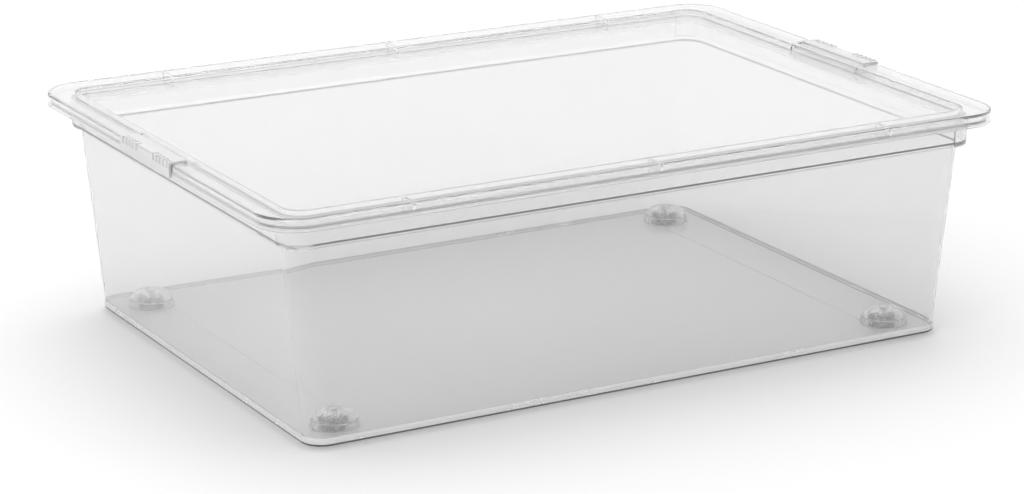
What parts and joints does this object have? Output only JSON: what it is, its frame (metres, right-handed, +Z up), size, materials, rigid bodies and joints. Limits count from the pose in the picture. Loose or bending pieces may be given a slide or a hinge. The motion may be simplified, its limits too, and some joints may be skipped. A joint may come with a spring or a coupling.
{
  "type": "storage box",
  "caption": "Low clear rectangular storage box on small castors, with a lift-off lid sunk inside a raised border and a hinged grip clip at each end.",
  "frame": {"origin": "middle of the footprint, on the surface that the castor wheels stand on", "axes": "+X along the long side, towards the right-hand clip; +Y from front to back; +Z up"},
  "size_m": [0.5536, 0.385, 0.1618],
  "materials": {
    "tray": "clear colourless moulded polypropylene, smooth gloss",
    "lid": "clear colourless moulded polypropylene, smooth gloss",
    "clip": "clear colourless moulded polypropylene with grip ribs",
    "castor": "clear moulded plastic castor body",
    "wheel": "clear moulded plastic wheel",
    "axle": "drawn steel pin"
  },
  "bodies": {
    "tray": {"tray": "tray"},
    "lid": {"lid": "lid"},
    "clip_left": {"clip_left": "clip"},
    "clip_right": {"clip_right": "clip"},
    "castor_front_left": {"castor_front_left_body": "castor", "castor_front_left_axle": "axle"},
    "castor_front_left_wheel_left": {"castor_front_left_wheel_left": "wheel"},
    "castor_front_left_wheel_right": {"castor_front_left_wheel_right": "wheel"},
    "castor_front_right": {"castor_front_right_body": "castor", "castor_front_right_axle": "axle"},
    "castor_front_right_wheel_left": {"castor_front_right_wheel_left": "wheel"},
    "castor_front_right_wheel_right": {"castor_front_right_wheel_right": "wheel"},
    "castor_back_left": {"castor_back_left_body": "castor", "castor_back_left_axle": "axle"},
    "castor_back_left_wheel_left": {"castor_back_left_wheel_left": "wheel"},
    "castor_back_left_wheel_right": {"castor_back_left_wheel_right": "wheel"},
    "castor_back_right": {"castor_back_right_body": "castor", "castor_back_right_axle": "axle"},
    "castor_back_right_wheel_left": {"castor_back_right_wheel_left": "wheel"},
    "castor_back_right_wheel_right": {"castor_back_right_wheel_right": "wheel"}
  },
  "joints": [
    {"name": "lid_lift", "type": "slide", "parent": "tray", "child": "lid", "axis": [0, 0, 1], "range_m": [0, 0.25]},
    {"name": "clip_left_hinge", "type": "hinge", "parent": "lid", "child": "clip_left", "pos_m": [-0.2646, 0, 0.1578], "axis": [0, 1, 0], "range_deg": [0, 85]},
    {"name": "clip_right_hinge", "type": "hinge", "parent": "lid", "child": "clip_right", "pos_m": [0.2646, 0, 0.1578], "axis": [0, -1, 0], "range_deg": [0, 85]},
    {"name": "castor_front_left_swivel", "type": "hinge", "parent": "tray", "child": "castor_front_left", "pos_m": [-0.2125, -0.143, 0.0118], "axis": [0, 0, 1], "continuous": true},
    {"name": "castor_front_left_wheel_left_spin", "type": "hinge", "parent": "castor_front_left", "child": "castor_front_left_wheel_left", "pos_m": [-0.2125, -0.141, 0.006], "axis": [1, 0, 0], "continuous": true},
    {"name": "castor_front_left_wheel_right_spin", "type": "hinge", "parent": "castor_front_left", "child": "castor_front_left_wheel_right", "pos_m": [-0.2125, -0.141, 0.006], "axis": [1, 0, 0], "continuous": true},
    {"name": "castor_front_right_swivel", "type": "hinge", "parent": "tray", "child": "castor_front_right", "pos_m": [0.2125, -0.143, 0.0118], "axis": [0, 0, 1], "continuous": true},
    {"name": "castor_front_right_wheel_left_spin", "type": "hinge", "parent": "castor_front_right", "child": "castor_front_right_wheel_left", "pos_m": [0.2125, -0.141, 0.006], "axis": [1, 0, 0], "continuous": true},
    {"name": "castor_front_right_wheel_right_spin", "type": "hinge", "parent": "castor_front_right", "child": "castor_front_right_wheel_right", "pos_m": [0.2125, -0.141, 0.006], "axis": [1, 0, 0], "continuous": true},
    {"name": "castor_back_left_swivel", "type": "hinge", "parent": "tray", "child": "castor_back_left", "pos_m": [-0.2125, 0.143, 0.0118], "axis": [0, 0, 1], "continuous": true},
    {"name": "castor_back_left_wheel_left_spin", "type": "hinge", "parent": "castor_back_left", "child": "castor_back_left_wheel_left", "pos_m": [-0.2125, 0.145, 0.006], "axis": [1, 0, 0], "continuous": true},
    {"name": "castor_back_left_wheel_right_spin", "type": "hinge", "parent": "castor_back_left", "child": "castor_back_left_wheel_right", "pos_m": [-0.2125, 0.145, 0.006], "axis": [1, 0, 0], "continuous": true},
    {"name": "castor_back_right_swivel", "type": "hinge", "parent": "tray", "child": "castor_back_right", "pos_m": [0.2125, 0.143, 0.0118], "axis": [0, 0, 1], "continuous": true},
    {"name": "castor_back_right_wheel_left_spin", "type": "hinge", "parent": "castor_back_right", "child": "castor_back_right_wheel_left", "pos_m": [0.2125, 0.145, 0.006], "axis": [1, 0, 0], "continuous": true},
    {"name": "castor_back_right_wheel_right_spin", "type": "hinge", "parent": "castor_back_right", "child": "castor_back_right_wheel_right", "pos_m": [0.2125, 0.145, 0.006], "axis": [1, 0, 0], "continuous": true}
  ]
}
